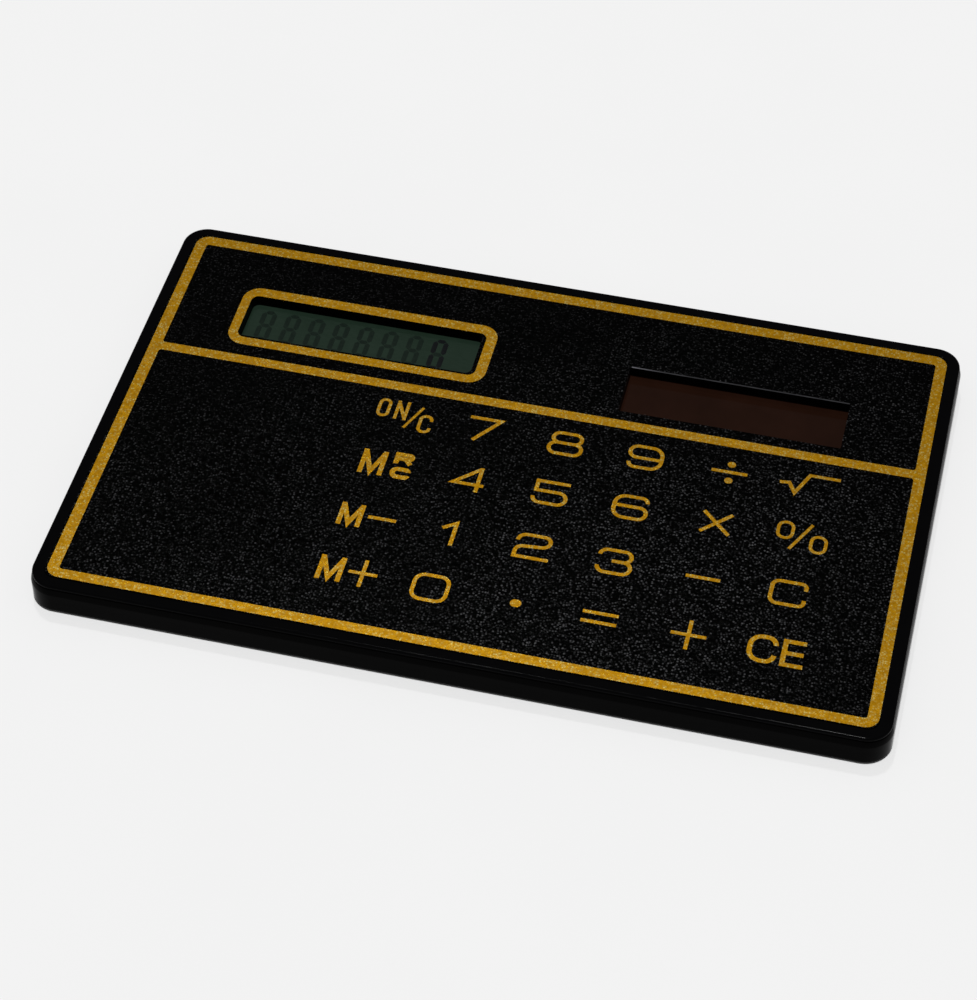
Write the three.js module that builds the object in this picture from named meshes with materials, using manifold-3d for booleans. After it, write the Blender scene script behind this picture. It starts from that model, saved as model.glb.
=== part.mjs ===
// Solar pocket calculator the size of a bank card, in millimetres, +Z up.
// The origin is the middle of the underside. +X runs along the long side, to the right of
// someone reading the display, and +Y points from the keys towards the display.

import * as THREE from "three";
import { mergeVertices } from "three/addons/utils/BufferGeometryUtils.js";
import Module from "manifold-3d";

const wasm = await Module();
wasm.setup();

// ---- Driving dimensions -------------------------------------------------------------------

const casing = { length: 85.6, width: 54, radius: 2.6 };

// Heights, from the underside up.
const height = {
  floor: 0.6,
  boardBottom: 0.62,
  boardTop: 1.22,
  casingBottom: 2.6,
  coverTop: 3.1,
  rimBottom: 3.12,
  filmSeat: 3.35,
  casingTop: 3.5,
  filmTop: 3.6,
};

const rimRound = 0.15;
const coverStep = 0.2;
const coverRound = 0.3;
const wall = 1.2;
const lipDepth = 0.4;
const lipWall = 0.8;
const film = { length: 83, width: 51.5, radius: 1.2, seatGap: 0.05 };

const displayWindow = { x: [-32.65, -7.15], y: [11.45, 17.6], radius: 0.7 };
const solarWindow = { x: [9.1, 32.4], y: [9.8, 16.5], radius: 0.15 };
const windowLip = 0.9;

const displayGlass = { x: [-35, -5], y: [8, 19.4], radius: 0.3 };
const displayLedge = 1.9;
const polariserInset = 0.5;
const solarGlass = { x: [7.6, 34], y: [8.6, 18], radius: 0.2 };

const keys = { firstX: -12.4, firstY: 3.8, pitchX: 8.53, pitchY: 7.37 };
const keyCap = { length: 6.2, width: 5.2, radius: 0.6 };
const keyGap = 0.2;
const keyFlange = { length: 7.2, width: 6.2, bottom: 2, radius: 0.8 };
const keyPill = { radius: 1.5, bottom: 1.52 };
const matGap = 0.15;
const matTop = 1.9;

const postRadius = 0.75;
const postHoleRadius = 0.95;
const posts = [
  [-38.2, 5.5],
  [-19.2, 5.5],
  [-38.2, -22],
  [-19.2, -22],
  [37, -22],
  [37, -4],
];

const clearance = 0.02;
const past = 1;

// Half the number of straight steps in a rounded corner: small corners, then large ones.
const cornerSteps = 1;
const outlineSteps = 3;

const keyNames = [
  ["key_on_c", "key_7", "key_8", "key_9", "key_divide", "key_root"],
  ["key_memory_recall", "key_4", "key_5", "key_6", "key_multiply", "key_percent"],
  ["key_memory_minus", "key_1", "key_2", "key_3", "key_minus", "key_clear"],
  ["key_memory_plus", "key_0", "key_point", "key_equals", "key_plus", "key_clear_entry"],
];

// ---- Materials ----------------------------------------------------------------------------

function finish(color, roughness, metalness = 0) {
  return new THREE.MeshStandardMaterial({ color, roughness, metalness });
}

const finishes = {
  film: () => finish(0x121212, 0.55),
  casing: () => finish(0x0b0b0c, 0.22),
  key: () => finish(0x1c1c1e, 0.7),
  mat: () => finish(0x8f9294, 0.75),
  board: () => finish(0x1d5a35, 0.5),
  epoxy: () => finish(0x101010, 0.35),
  polariser: () => finish(0x1d2f26, 0.3),
  glass: () => finish(0xa9b8ae, 0.1),
  reflector: () => finish(0xa8ada6, 0.4, 0.5),
  solarGlass: () => finish(0x24120d, 0.1),
  solarLayer: () => finish(0x3a1a12, 0.4),
  zebra: () => finish(0xc9c4b8, 0.7),
  foam: () => finish(0x4a4a4a, 0.9),
  redWire: () => finish(0xb3221c, 0.45),
  blackWire: () => finish(0x151515, 0.45),
  ceramic: () => finish(0x9a7b52, 0.5),
  resistor: () => finish(0x1a1a1a, 0.5),
  led: () => finish(0xb02a20, 0.3),
};

// ---- Shape helpers ------------------------------------------------------------------------

function roundedArea({ x, y, radius }) {
  const [left, right] = x;
  const [low, high] = y;
  const shape = new THREE.Shape();
  shape.moveTo(left + radius, low);
  shape.lineTo(right - radius, low);
  shape.absarc(right - radius, low + radius, radius, -Math.PI / 2, 0);
  shape.lineTo(right, high - radius);
  shape.absarc(right - radius, high - radius, radius, 0, Math.PI / 2);
  shape.lineTo(left + radius, high);
  shape.absarc(left + radius, high - radius, radius, Math.PI / 2, Math.PI);
  shape.lineTo(left, low + radius);
  shape.absarc(left + radius, low + radius, radius, Math.PI, Math.PI * 1.5);
  return shape;
}

function centred({ length, width, radius }, x = 0, y = 0) {
  return {
    x: [x - length / 2, x + length / 2],
    y: [y - width / 2, y + width / 2],
    radius,
  };
}

// Moves every side of an area outwards, or inwards when the distance is negative.
function grown(area, distance) {
  return {
    x: [area.x[0] - distance, area.x[1] + distance],
    y: [area.y[0] - distance, area.y[1] + distance],
    radius: Math.max(area.radius + distance, 0.1),
  };
}

function slab(area, bottom, top, curveSegments = cornerSteps) {
  const geometry = new THREE.ExtrudeGeometry(roundedArea(area), {
    depth: top - bottom,
    bevelEnabled: false,
    curveSegments,
  });
  return geometry.translate(0, 0, bottom);
}

// A slab whose upper and lower edges are rounded.
function softSlab(area, bottom, top, round, curveSegments = cornerSteps) {
  const geometry = new THREE.ExtrudeGeometry(roundedArea(area), {
    depth: top - bottom - 2 * round,
    bevelThickness: round,
    bevelSize: round,
    bevelOffset: -round,
    bevelSegments: 2,
    curveSegments,
  });
  return geometry.translate(0, 0, bottom + round);
}

function rod(radius, x, y, bottom, top, sides = 12) {
  const geometry = new THREE.CylinderGeometry(radius, radius, top - bottom, sides);
  return geometry.rotateX(Math.PI / 2).translate(x, y, (bottom + top) / 2);
}

function solid(geometry) {
  const bare = geometry.clone();
  bare.deleteAttribute("normal");
  bare.deleteAttribute("uv");
  const merged = mergeVertices(bare);
  return new wasm.Manifold(
    new wasm.Mesh({
      numProp: 3,
      vertProperties: new Float32Array(merged.attributes.position.array),
      triVerts: new Uint32Array(merged.index.array),
    }),
  );
}

function joined(geometries) {
  return geometries.map(solid).reduce((whole, piece) => whole.add(piece));
}

function cut(body, geometries) {
  return geometries.map(solid).reduce((rest, piece) => rest.subtract(piece), body);
}

function surface(body) {
  const { vertProperties, triVerts } = body.getMesh();
  const geometry = new THREE.BufferGeometry();
  geometry.setAttribute("position", new THREE.BufferAttribute(vertProperties, 3));
  geometry.setIndex(new THREE.BufferAttribute(triVerts, 1));
  geometry.computeVertexNormals();
  return geometry;
}

function part(name, geometry, material) {
  const mesh = new THREE.Mesh(geometry, material);
  mesh.name = name;
  return mesh;
}

// ---- Key positions ------------------------------------------------------------------------

const keyPlaces = keyNames.flatMap((row, rowIndex) =>
  row.map((name, column) => ({
    name,
    x: keys.firstX + column * keys.pitchX,
    y: keys.firstY - rowIndex * keys.pitchY,
  })),
);

function keyHoles(size, gap, bottom, top) {
  return keyPlaces.map(({ x, y }) => slab(grown(centred(size, x, y), gap), bottom, top));
}

// ---- Outer shells -------------------------------------------------------------------------

// The printed overlay, with the display and solar windows and one cell cut out for each key.
function faceFilm() {
  const bottom = height.filmSeat + clearance / 2;
  const sheet = solid(slab(centred(film), bottom, height.filmTop, outlineSteps));
  const below = height.filmSeat - past;
  const above = height.filmTop + past;
  return cut(sheet, [
    slab(displayWindow, below, above),
    slab(solarWindow, below, above),
    ...keyHoles(keyCap, keyGap, below, above),
  ]);
}

// A ring that reaches down from the plate around a window, to the glass below it.
function windowCollar(windowArea, bottom) {
  return slab(grown(windowArea, windowLip), bottom, height.casingBottom + clearance);
}

// The outline of the rear cover, which stands out a little all round below the casing's rim.
function coverArea() {
  return grown(centred(casing), coverStep);
}

// The part of the casing that drops inside the cover's wall.
function plugArea() {
  return grown(coverArea(), -(wall + 0.1));
}

// The ring on the casing's underside that lines it up with the cover.
function locatingLip() {
  const outer = plugArea();
  const bottom = height.casingBottom - lipDepth;
  const top = height.casingBottom + clearance;
  const ring = solid(slab(outer, bottom, top, outlineSteps));
  return cut(ring, [slab(grown(outer, -lipWall), bottom - past, top + past, outlineSteps)]);
}

function frontCasing() {
  const plate = joined([
    softSlab(centred(casing), height.rimBottom, height.casingTop, rimRound, outlineSteps),
    slab(plugArea(), height.casingBottom, height.casingTop - rimRound, outlineSteps),
  ]);
  const displayTop = stack.displayTop + clearance;
  const solarTop = stack.solarTop + clearance;
  const raw = plate
    .add(locatingLip())
    .add(solid(windowCollar(displayWindow, displayTop)))
    .add(solid(windowCollar(solarWindow, solarTop)))
    .add(
      joined(
        posts.map(([x, y]) =>
          rod(postRadius, x, y, height.floor + 0.1, height.casingBottom + clearance),
        ),
      ),
    );
  const low = height.floor;
  const above = height.casingTop + past;
  return cut(raw, [
    slab(grown(centred(film), film.seatGap), height.filmSeat, above, outlineSteps),
    slab(grown(displayWindow, film.seatGap), low, above),
    slab(grown(solarWindow, film.seatGap), low, above),
    ...keyHoles(keyCap, keyGap, low, above),
  ]);
}

// The tray that holds everything, with a rounded lower edge and ribs beside the two glasses.
function rearCover() {
  const outer = coverArea();
  const foot = softSlab(outer, 0, 2 * coverRound + 0.2, coverRound, outlineSteps);
  const body = slab(outer, coverRound, height.coverTop, outlineSteps);
  const hollow = slab(
    grown(outer, -wall),
    height.floor,
    height.coverTop + past,
    outlineSteps,
  );
  const ribs = [
    { x: [-36, -35.2], y: [10.2, 19.2], radius: 0.1 },
    { x: [-4.8, -4], y: [10.2, 19.2], radius: 0.1 },
    { x: [6.6, 7.4], y: [9.2, 13.2], radius: 0.1 },
    { x: [34.2, 35], y: [13.6, 17.6], radius: 0.1 },
  ].map((area) => slab(area, height.floor - clearance, 2.1));
  return cut(joined([foot, body]), [hollow]).add(joined(ribs));
}

// ---- Keys ---------------------------------------------------------------------------------

// One key: the cell of the face that the finger presses, the rubber pad that goes through the
// casing with a flange under the plate, and the round contact below it.
function keySolid(x, y) {
  return joined([
    slab(centred(keyCap, x, y), height.casingBottom - 2 * clearance, height.filmTop),
    slab(centred(keyFlange, x, y), keyFlange.bottom, height.casingBottom - clearance),
    rod(keyPill.radius, x, y, keyPill.bottom, keyFlange.bottom + clearance),
  ]);
}

function keyMat() {
  const edge = 0.6;
  const [first, last] = [keyPlaces[0], keyPlaces[keyPlaces.length - 1]];
  const reachX = keyFlange.length / 2 + matGap + edge;
  const reachY = Math.min(keyFlange.width / 2 + matGap + edge, 3.55);
  const area = {
    x: [first.x - reachX, last.x + reachX],
    y: [last.y - reachY, first.y + 3.5],
    radius: 1,
  };
  const bottom = height.boardTop + clearance;
  const sheet = solid(slab(area, bottom, matTop));
  return cut(sheet, keyHoles(keyFlange, matGap, bottom - past, matTop + past));
}

// ---- Board and what is soldered to it -----------------------------------------------------

function circuitBoard() {
  const main = { x: [-40.4, 40.4], y: [-24.4, 7.7], radius: 1 };
  const tongue = { x: [-34.8, -5.2], y: [7, 9.7], radius: 0.3 };
  const plate = joined([
    slab(main, height.boardBottom, height.boardTop),
    slab(tongue, height.boardBottom, height.boardTop),
  ]);
  return cut(
    plate,
    posts.map(([x, y]) =>
      rod(postHoleRadius, x, y, height.boardBottom - past, height.boardTop + past),
    ),
  );
}

function chipCover() {
  const radius = 4.4;
  const rise = 0.95;
  const base = height.boardTop + clearance;
  const profile = [new THREE.Vector2(0, 0), new THREE.Vector2(radius, 0)];
  const steps = 5;
  for (let step = 1; step < steps; step += 1) {
    const angle = (step / steps) * (Math.PI / 2);
    profile.push(new THREE.Vector2(radius * Math.cos(angle), rise * Math.sin(angle)));
  }
  profile.push(new THREE.Vector2(0, rise));
  const dome = new THREE.LatheGeometry(profile, 20);
  return dome.rotateX(Math.PI / 2).translate(-29, -8.5, base);
}

// A small part soldered to the board: a rounded block of length, width and height.
function boardPart([x, y], [length, width, tall]) {
  const bottom = height.boardTop + clearance;
  return softSlab(centred({ length, width, radius: 0.15 }, x, y), bottom, bottom + tall, 0.08);
}

// ---- Display and solar cell, from the board or the cover's floor up -------------------------

const stack = {
  connector: [1.24, 1.7],
  cushion: [0.62, 1.1],
  reflector: [1.12, 1.28],
  rearGlass: [1.3, 1.7],
  frontGlass: [1.72, 2.12],
  polariser: [2.14, 2.34],
  displayTop: 2.34,
  solarCushion: [0.62, 1.18],
  solarLayer: [1.2, 1.26],
  solarGlass: [1.28, 2.3],
  solarTop: 2.3,
};

const rearGlassArea = {
  ...displayGlass,
  y: [displayGlass.y[0] + displayLedge, displayGlass.y[1]],
};

function displayParts() {
  const strip = {
    x: [displayGlass.x[0] + 0.8, displayGlass.x[1] - 0.8],
    y: [displayGlass.y[0] + 0.2, displayGlass.y[0] + displayLedge - 0.3],
    radius: 0.1,
  };
  const cushion = grown(rearGlassArea, -1.2);
  return [
    part(
      "lcd_front_polariser",
      slab(grown(rearGlassArea, -polariserInset), ...stack.polariser),
      finishes.polariser(),
    ),
    part("lcd_front_glass", slab(displayGlass, ...stack.frontGlass), finishes.glass()),
    part("lcd_rear_glass", slab(rearGlassArea, ...stack.rearGlass), finishes.glass()),
    part(
      "lcd_reflector",
      slab(grown(rearGlassArea, -polariserInset), ...stack.reflector),
      finishes.reflector(),
    ),
    part("display_connector", slab(strip, ...stack.connector), finishes.zebra()),
    part("display_cushion", slab(cushion, ...stack.cushion), finishes.foam()),
  ];
}

function solarParts() {
  const layer = grown(solarGlass, -0.3);
  const cushion = { x: [10.6, 31], y: [9.8, 16.8], radius: 0.5 };
  return [
    part("solar_cell_glass", slab(solarGlass, ...stack.solarGlass), finishes.solarGlass()),
    part("solar_cell_layer", slab(layer, ...stack.solarLayer), finishes.solarLayer()),
    part("solar_cushion", slab(cushion, ...stack.solarCushion), finishes.foam()),
  ];
}

// ---- Wires from the solar cell to the board -------------------------------------------------

const wireRadius = 0.24;
const wireLow = 0.9;
const wireHigh = height.boardTop + wireRadius + clearance;

function wire(points) {
  const path = new THREE.CatmullRomCurve3(
    points.map(([x, y, z]) => new THREE.Vector3(x, y, z)),
    false,
    "centripetal",
  );
  const section = new THREE.Shape();
  section.absarc(0, 0, wireRadius, 0, Math.PI * 2);
  return new THREE.ExtrudeGeometry(section, {
    steps: points.length * 3,
    extrudePath: path,
    bevelEnabled: false,
    curveSegments: 4,
  });
}

const positiveRoute = [
  [32, 12, wireLow],
  [34.6, 12, wireLow],
  [35.8, 11, wireLow + 0.05],
  [36, 9, wireHigh - 0.1],
  [36, 7, wireHigh],
  [36, 4.5, wireHigh],
];

const negativeRoute = [
  [8.8, 14.6, wireLow],
  [8.8, 18, wireLow],
  [10, 19.6, wireLow],
  [20, 19.9, wireLow],
  [34, 19.8, wireLow],
  [37.4, 18.6, wireLow],
  [38.2, 16, wireLow],
  [38.2, 10.5, wireLow + 0.05],
  [38.1, 8.6, wireHigh],
  [38, 7, wireHigh],
  [38, 4.5, wireHigh],
];

// ---- The whole calculator -----------------------------------------------------------------

const calculator = new THREE.Group();

calculator.add(
  part("face_film", surface(faceFilm()), finishes.film()),
  part("front_casing", surface(frontCasing()), finishes.casing()),
  part("rear_cover", surface(rearCover()), finishes.casing()),
  part("key_mat", surface(keyMat()), finishes.mat()),
  part("circuit_board", surface(circuitBoard()), finishes.board()),
  part("chip_cover", chipCover(), finishes.epoxy()),
  part("supply_capacitor", boardPart([-29, 1], [3.2, 1.6, 1.1]), finishes.ceramic()),
  part("timing_capacitor", boardPart([-34.5, -1], [2, 1.2, 0.8]), finishes.ceramic()),
  part("timing_resistor", boardPart([-34.5, 2], [2, 1.2, 0.5]), finishes.resistor()),
  part("voltage_clamp_led", boardPart([-23.5, 1], [2, 1.2, 0.8]), finishes.led()),
  part("solar_lead_positive", wire(positiveRoute), finishes.redWire()),
  part("solar_lead_negative", wire(negativeRoute), finishes.blackWire()),
  ...displayParts(),
  ...solarParts(),
);

const keypad = new THREE.Group();
for (const { name, x, y } of keyPlaces) {
  const key = part(name, surface(keySolid(0, 0)), finishes.key());
  key.position.set(x, y, 0);
  keypad.add(key);
}
calculator.add(keypad);

export default calculator;
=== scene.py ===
"""The looks of a bank-card sized solar calculator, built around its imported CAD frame."""

import math

import bmesh
import bpy
from mathutils import Matrix, Vector
from mathutils.geometry import delaunay_2d_cdt
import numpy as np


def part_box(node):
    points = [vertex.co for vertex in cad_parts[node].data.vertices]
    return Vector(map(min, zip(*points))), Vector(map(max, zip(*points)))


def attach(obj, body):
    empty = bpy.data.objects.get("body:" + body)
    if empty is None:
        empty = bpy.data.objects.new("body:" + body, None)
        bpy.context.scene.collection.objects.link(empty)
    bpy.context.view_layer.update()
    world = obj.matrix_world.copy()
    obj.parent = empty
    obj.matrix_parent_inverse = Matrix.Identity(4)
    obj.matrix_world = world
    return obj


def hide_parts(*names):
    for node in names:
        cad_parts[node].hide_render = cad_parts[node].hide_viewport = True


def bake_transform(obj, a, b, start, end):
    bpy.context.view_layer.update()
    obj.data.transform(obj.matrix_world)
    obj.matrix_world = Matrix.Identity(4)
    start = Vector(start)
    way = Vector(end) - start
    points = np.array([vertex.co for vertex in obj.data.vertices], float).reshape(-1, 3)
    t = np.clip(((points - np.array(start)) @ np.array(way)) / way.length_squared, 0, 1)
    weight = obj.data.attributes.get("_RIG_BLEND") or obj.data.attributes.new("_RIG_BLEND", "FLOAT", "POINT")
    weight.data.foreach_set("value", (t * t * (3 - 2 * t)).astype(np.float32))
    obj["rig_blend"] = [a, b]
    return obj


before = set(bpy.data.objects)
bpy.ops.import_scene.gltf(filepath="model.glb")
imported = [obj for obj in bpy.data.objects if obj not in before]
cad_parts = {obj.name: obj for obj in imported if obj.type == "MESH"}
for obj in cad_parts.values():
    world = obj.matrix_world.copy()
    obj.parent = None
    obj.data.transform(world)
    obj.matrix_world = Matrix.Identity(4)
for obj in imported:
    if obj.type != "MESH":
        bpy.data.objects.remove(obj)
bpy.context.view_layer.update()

# ---- Sizes, in millimetres unless a name says otherwise ----------------------------------------

MM = 0.001
CASE = "case"


def span(node, axis):
    """The lowest and highest place of a CAD node along X, Y or Z, in millimetres."""
    low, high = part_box(node)
    return low[axis] / MM, high[axis] / MM


def area_of(node):
    """The rectangle that a CAD node covers, as left, right, near and far."""
    return (*span(node, 0), *span(node, 1))


FILM_BOTTOM, FILM_TOP = span("face_film", 2)
FILM_SEAT = FILM_BOTTOM - 0.01
CASING_TOP = 3.5
RIM_BOTTOM = 3.12
RIM_LOW_EDGE = 0.06
RIM_HIGH_EDGE = 0.24
CASING_BOTTOM = 2.6
COVER_TOP = 3.1
COVER_FLOOR = 0.6
COVER_LOW_EDGE = 0.32
POLARISER_TOP = span("lcd_front_polariser", 2)[1]
CELL_TOP = span("solar_cell_glass", 2)[1]

CARD_RADIUS = 2.6
FILM_RADIUS = 1.2
COVER_STEP = 0.2
COVER_SLOPE = [(0, 2.3), (0.02, 2.42), (0.15, 2.95), (0.2, 3.05), (0.27, COVER_TOP)]
WALL = 1.2

# The upper shell has a plug that fits inside the lower one, with a lip below it. The film
# lies in a seat in its face. Joined solids overlap, and cutting ones stand clear.
PLUG_GAP = 0.1
PLUG_RADIUS = 1.5
LIP_WIDTH = 0.8
LIP_DEPTH = 0.4
PIN_RADIUS = 0.75
PIN_GAP = 0.1
RIB_TOP = 2.1
SEAT_GAP = 0.05
GLASS_GAP = 0.02
OVERLAP = 0.02
CLEAR = 1
DISPLAY_WINDOW = (-32.65, -7.15, 11.45, 17.6)
DISPLAY_RADIUS = 0.7
SOLAR_WINDOW = (9.1, 32.4, 9.8, 16.5)
SOLAR_RADIUS = 0.15
COLLAR = 0.9

# The cut edge of the film at the solar window.
BEVEL = 0.08
BEVEL_DROP = 0.005

BORDER = (-41.27, 41.43, -25.68, 25.53)
BORDER_INSIDE = (-40.05, 40.28, -24.56, 24.24)
BORDER_RADIUS = 1.4
BORDER_INSIDE_RADIUS = 0.3
DIVIDER = (7.34, 8.5)
DISPLAY_FRAME = (-33.75, -5.55, 10.1, 18.9)
DISPLAY_FRAME_INSIDE = (-32.75, -6.7, 11.2, 17.66)
DISPLAY_FRAME_RADIUS = 1.9
DISPLAY_FRAME_INSIDE_RADIUS = 0.85
INK = 0.012

# A cell of film lies over each key, flat in its middle. The film stands proud by the crown.
PITCH_X = 8.53
PITCH_Y = 7.37
FLAT_X = 3.3
FLAT_Y = 2.2
CROWN = 0.004
CELL_SAG = 0.05
CELL_GAP = 0.002
CELL_LEVELS = 12
CELL_SPOKES = 48

# The rubber pad under each key: a round contact, a flange, and a stem up through the casing.
KEY_GAP = 0.2
KEY_RADIUS = 0.8
STEM_X = 3.1
STEM_Y = 2.6
STEM_RADIUS = 0.6
STEM_BEVEL = 0.03
PAD_EDGE = 0.1
PAD_GAP = 0.01
FLANGE_REACH = 0.5
FLANGE_RADIUS = 0.8
FLANGE_BOTTOM = 2.0
CONTACT_RADIUS = 1.5
CONTACT_BOTTOM = 1.52
CONTACT_EDGE = 0.12

KEY_NODES = [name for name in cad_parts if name.startswith("key_") and name != "key_mat"]

# ---- Outlines ----------------------------------------------------------------------------------


def grow(area, distance):
    """Moves the four sides of a rectangle outwards."""
    left, right, near, far = area
    return (left - distance, right + distance, near - distance, far + distance)


def rounded(area, radius, steps=10):
    """The points of a rectangle with round corners, anticlockwise."""
    left, right, near, far = area
    centres = (
        (right - radius, near + radius, -90),
        (right - radius, far - radius, 0),
        (left + radius, far - radius, 90),
        (left + radius, near + radius, 180),
    )
    points = []
    for x, y, first in centres:
        for step in range(steps + 1):
            angle = math.radians(first + 90 * step / steps)
            points.append((x + radius * math.cos(angle), y + radius * math.sin(angle)))
    return points


def sharp(area):
    """The corners of a rectangle, anticlockwise."""
    left, right, near, far = area
    return [(right, near), (right, far), (left, far), (left, near)]


def circle(x, y, radius, steps=24):
    """The points of a circle, anticlockwise."""
    turns = [2 * math.pi * step / steps for step in range(steps)]
    return [(x + radius * math.cos(turn), y + radius * math.sin(turn)) for turn in turns]


def holds(loop, x, y):
    """True where a closed outline goes round the point."""
    inside = False
    for (x0, y0), (x1, y1) in zip(loop, loop[1:] + loop[:1]):
        if (y0 > y) != (y1 > y) and x < x0 + (y - y0) * (x1 - x0) / (y1 - y0):
            inside = not inside
    return inside


def odd(loops, x, y):
    """True inside an odd number of outlines, so that an outline within another is a hole."""
    return sum(holds(loop, x, y) for loop in loops) % 2 == 1


def either(loops, x, y):
    """True inside any of the outlines, so that overlapping ones make one area."""
    return any(holds(loop, x, y) for loop in loops)


# ---- Meshes ------------------------------------------------------------------------------------


def place(name, vertices, faces):
    """A new object from points in millimetres."""
    mesh = bpy.data.meshes.new(name)
    mesh.from_pydata([[value * MM for value in point] for point in vertices], [], faces)
    mesh.update()
    made = bpy.data.objects.new(name, mesh)
    bpy.context.scene.collection.objects.link(made)
    return made


SAME_POINT = 1e-5


def fill(loops, keep):
    """Triangles of the flat area between outlines that keep() accepts."""
    points = []
    edges = []
    for loop in loops:
        base = len(points)
        size = len(loop)
        points += [Vector(point) for point in loop]
        edges += [(base + i, base + (i + 1) % size) for i in range(size)]
    vertices, _, faces, *_ = delaunay_2d_cdt(points, edges, [], 0, SAME_POINT)
    kept = []
    for face in faces:
        centre = sum((vertices[i] for i in face), Vector((0, 0))) / len(face)
        if keep(loops, centre.x, centre.y):
            kept.append(list(face))
    return [(point.x, point.y) for point in vertices], kept


def plate(name, loops, bottom, top, keep=odd):
    """A closed flat solid over the area that keep() accepts."""
    points, faces = fill(loops, keep)
    count = len(points)
    sides = [side for face in faces for side in zip(face, face[1:] + face[:1])]
    shared = {(end, start) for start, end in sides}
    walls = [
        (start + count, end + count, end, start)
        for start, end in sides
        if (start, end) not in shared
    ]
    vertices = [(x, y, top) for x, y in points] + [(x, y, bottom) for x, y in points]
    under = [[i + count for i in reversed(face)] for face in faces]
    made = place(name, vertices, faces + under + walls)
    tidy(made)
    return made


def tidy(made):
    """Drops loose points and turns every face outwards."""
    shape = bmesh.new()
    shape.from_mesh(made.data)
    loose = [vertex for vertex in shape.verts if not vertex.link_faces]
    bmesh.ops.delete(shape, geom=loose, context="VERTS")
    bmesh.ops.recalc_face_normals(shape, faces=shape.faces)
    shape.to_mesh(made.data)
    shape.free()


def loft(name, rings):
    """A closed solid through rings of equally many points, with a flat cap at each end."""
    size = len(rings[0])
    vertices = [point for outline in rings for point in outline]
    faces = []
    for level in range(len(rings) - 1):
        base = level * size
        for i in range(size):
            j = (i + 1) % size
            faces.append((base + i, base + j, base + size + j, base + size + i))
    faces.append(list(reversed(range(size))))
    faces.append([len(vertices) - size + i for i in range(size)])
    made = place(name, vertices, faces)
    tidy(made)
    return made


def block(name, area, radius, profile):
    """A block with round corners: the profile gives how far it is set in at each height."""
    rings = []
    for inset, z in profile:
        outline = rounded(grow(area, -inset), radius - inset, 14)
        rings.append([(x, y, z) for x, y in outline])
    return loft(name, rings)


EDGE_ANGLES = [math.pi / 2 * step / 5 for step in range(6)]


def low_edge(size, bottom):
    """The profile of a rounded lower edge."""
    return [(size * (1 - math.sin(a)), bottom + size * (1 - math.cos(a))) for a in EDGE_ANGLES]


def high_edge(size, top):
    """The profile of a rounded upper edge."""
    return [(size * (1 - math.cos(a)), top - size * (1 - math.sin(a))) for a in EDGE_ANGLES]


def combine(target, tools, operation):
    """Joins solids to the target or cuts them from it, and removes them."""
    for tool in tools:
        change = target.modifiers.new("combine", "BOOLEAN")
        change.operation = operation
        change.solver = "EXACT"
        change.object = tool
    bpy.context.view_layer.update()
    graph = bpy.context.evaluated_depsgraph_get()
    mesh = bpy.data.meshes.new_from_object(target.evaluated_get(graph))
    target.modifiers.clear()
    target.data = mesh
    for tool in tools:
        bpy.data.objects.remove(tool)


def shade(made):
    """Smooth faces, with sharp edges where the surface turns by more than 32 degrees."""
    limit = math.radians(32)
    shape = bmesh.new()
    shape.from_mesh(made.data)
    for face in shape.faces:
        face.smooth = True
    for edge in shape.edges:
        edge.smooth = len(edge.link_faces) == 2 and edge.calc_face_angle(0) < limit
    shape.to_mesh(made.data)
    shape.free()
    weigh = made.modifiers.new("even_normals", "WEIGHTED_NORMAL")
    weigh.keep_sharp = True
    weigh.weight = 100


# ---- Materials ---------------------------------------------------------------------------------


def node(tree, kind, inputs=None, **settings):
    """Adds a shader node, with its settings, and its inputs as values or links."""
    made = tree.nodes.new(kind)
    for key, value in settings.items():
        setattr(made, key, value)
    for key, value in (inputs or {}).items():
        if isinstance(value, bpy.types.NodeSocket):
            tree.links.new(value, made.inputs[key])
        else:
            made.inputs[key].default_value = value
    return made


def surface(name, **inputs):
    """A material with a principled shader, its tree, the shader and object coordinates."""
    made = bpy.data.materials.new(name)
    made.use_nodes = True
    tree = made.node_tree
    shader = tree.nodes["Principled BSDF"]
    for key, value in inputs.items():
        shader.inputs[key.replace("_", " ")].default_value = value
    where = node(tree, "ShaderNodeTexCoord").outputs["Object"]
    return made, tree, shader, where


def noise(tree, where, scale, detail=2.0, roughness=0.5):
    """Cloudy values around 0.5, with a scale in waves to the metre."""
    inputs = {"Vector": where, "Scale": scale, "Detail": detail, "Roughness": roughness}
    return node(tree, "ShaderNodeTexNoise", inputs).outputs["Fac"]


def cells(tree, where, scale):
    """Scattered cells: the distance to each one's middle, and a colour of its own."""
    made = node(tree, "ShaderNodeTexVoronoi", {"Vector": where, "Scale": scale})
    return made.outputs["Distance"], made.outputs["Color"]


def remap(tree, value, low, high, new_low, new_high):
    """Stretches the values between low and high to new limits."""
    inputs = {0: value, 1: low, 2: high, 3: new_low, 4: new_high}
    return node(tree, "ShaderNodeMapRange", inputs).outputs["Result"]


def product(tree, first, second):
    """Two values multiplied."""
    return node(tree, "ShaderNodeMath", {0: first, 1: second}, operation="MULTIPLY").outputs[0]


def power(tree, value, exponent):
    """A value raised to a power, which makes high values rarer."""
    return node(tree, "ShaderNodeMath", {0: value, 1: exponent}, operation="POWER").outputs[0]


def stretched(tree, where, scale):
    """Coordinates multiplied along each axis, for marks that run in one direction."""
    return node(tree, "ShaderNodeMapping", {"Vector": where, "Scale": scale}).outputs["Vector"]


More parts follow.
